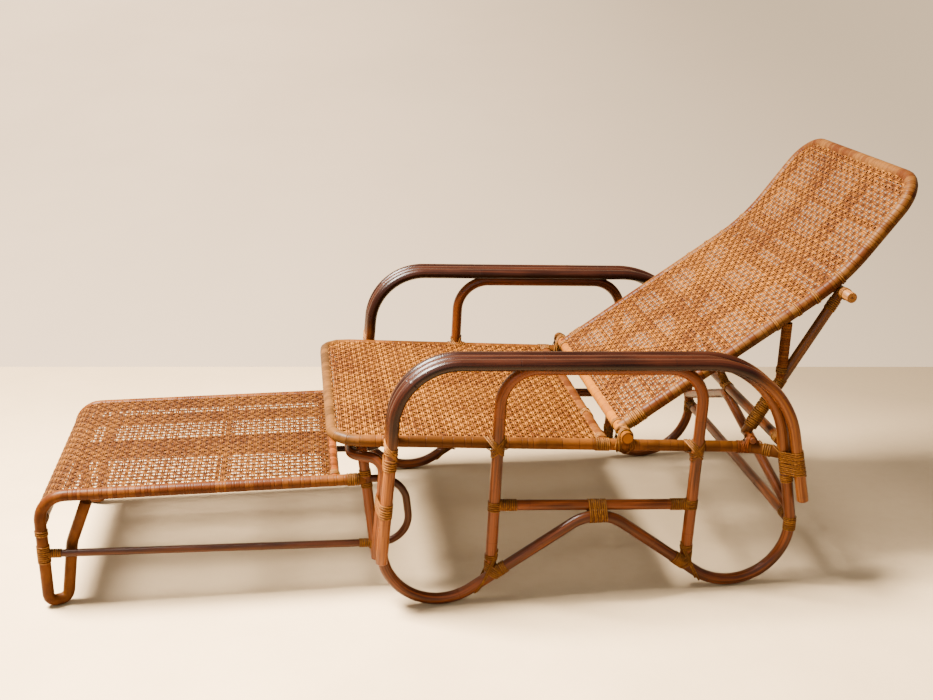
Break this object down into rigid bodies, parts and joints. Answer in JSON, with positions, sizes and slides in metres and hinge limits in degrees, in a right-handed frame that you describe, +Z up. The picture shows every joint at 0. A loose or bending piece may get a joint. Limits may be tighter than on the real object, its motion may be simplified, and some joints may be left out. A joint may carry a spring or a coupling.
{
  "type": "reclining cane long chair",
  "caption": "Reclining long chair of bent rattan cane with looped runners, open woven panels, a propped back and a footrest that pulls out from under the seat.",
  "frame": {"origin": "on the floor below the middle of the chair's length and width, with the footrest pulled out", "axes": "+X from the footrest towards the back, +Y towards the sitter's right side, +Z up"},
  "size_m": [1.8116, 0.777, 0.852],
  "materials": {
    "dark_cane": "gloss, dark red-brown stain",
    "brown_cane": "semi-gloss, warm brown",
    "honey_cane": "semi-gloss, honey brown",
    "wrapped_cane": "satin, wound with flat cane strand",
    "woven_cane": "satin, open woven cane",
    "lashing_cane": "satin, flat cane strand"
  },
  "bodies": {
    "main_frame": {"back_rest_post": "honey_cane", "footrest_guide_left": "honey_cane", "footrest_guide_right": "honey_cane", "front_bow": "brown_cane", "front_post_lashings": "lashing_cane", "hinge_straps": "lashing_cane", "hoop_lashings": "lashing_cane", "inner_arm_cane_left": "dark_cane", "inner_arm_cane_right": "dark_cane", "inner_hoop_left": "brown_cane", "inner_hoop_right": "brown_cane", "middle_arm_cane_left": "dark_cane", "middle_arm_cane_right": "dark_cane", "outer_arm_cane_left": "dark_cane", "outer_arm_cane_right": "dark_cane", "prop_straps": "lashing_cane", "rear_arch": "brown_cane", "rear_high_stretcher": "brown_cane", "rear_joint_lashings": "lashing_cane", "rear_low_stretcher": "brown_cane", "rear_post_lashings": "lashing_cane", "runner_cane_left": "brown_cane", "runner_cane_right": "brown_cane", "seat_battens": "honey_cane", "seat_lashings": "lashing_cane", "seat_rail": "honey_cane", "seat_rear_rail": "wrapped_cane", "seat_weave": "woven_cane", "side_stretcher_left": "brown_cane", "side_stretcher_right": "brown_cane", "stretcher_lashings": "lashing_cane"},
    "backrest": {"hinge_pole": "honey_cane", "back_frame": "wrapped_cane", "back_long_battens": "honey_cane", "back_cross_battens": "honey_cane", "back_weave": "woven_cane", "back_hinge_lashings": "lashing_cane", "back_rack_wraps": "lashing_cane"},
    "prop": {"prop_dowel": "honey_cane", "prop_foot_pegs": "honey_cane", "prop_lashings": "lashing_cane", "prop_leg_left": "honey_cane", "prop_leg_right": "honey_cane", "prop_strut_left": "honey_cane", "prop_strut_right": "honey_cane"},
    "footrest": {"footrest_battens": "honey_cane", "footrest_hanger_bar": "honey_cane", "footrest_lashings": "lashing_cane", "footrest_nose_rail": "honey_cane", "footrest_rail_left": "brown_cane", "footrest_rail_right": "brown_cane", "footrest_rear_bow_left": "brown_cane", "footrest_rear_bow_right": "brown_cane", "footrest_rear_rail": "dark_cane", "footrest_rod_left": "brown_cane", "footrest_rod_right": "brown_cane", "footrest_upright_left": "brown_cane", "footrest_upright_right": "brown_cane", "footrest_weave": "woven_cane"}
  },
  "joints": [
    {"name": "footrest_slide", "type": "slide", "parent": "main_frame", "child": "footrest", "axis": [1, 0, 0], "range_m": [0, 0.45]},
    {"name": "back_recline", "type": "hinge", "parent": "main_frame", "child": "backrest", "pos_m": [0.289, 0, 0.34236], "axis": [0, -1, 0], "range_deg": [0, 30]},
    {"name": "prop_swing", "type": "hinge", "parent": "main_frame", "child": "prop", "pos_m": [0.559, 0, 0.31699], "axis": [0, -1, 0], "range_deg": [0, 45.5]}
  ],
  "couplings": [
    {"joint": "prop_swing", "follows": "back_recline", "ratio": 1.5}
  ]
}
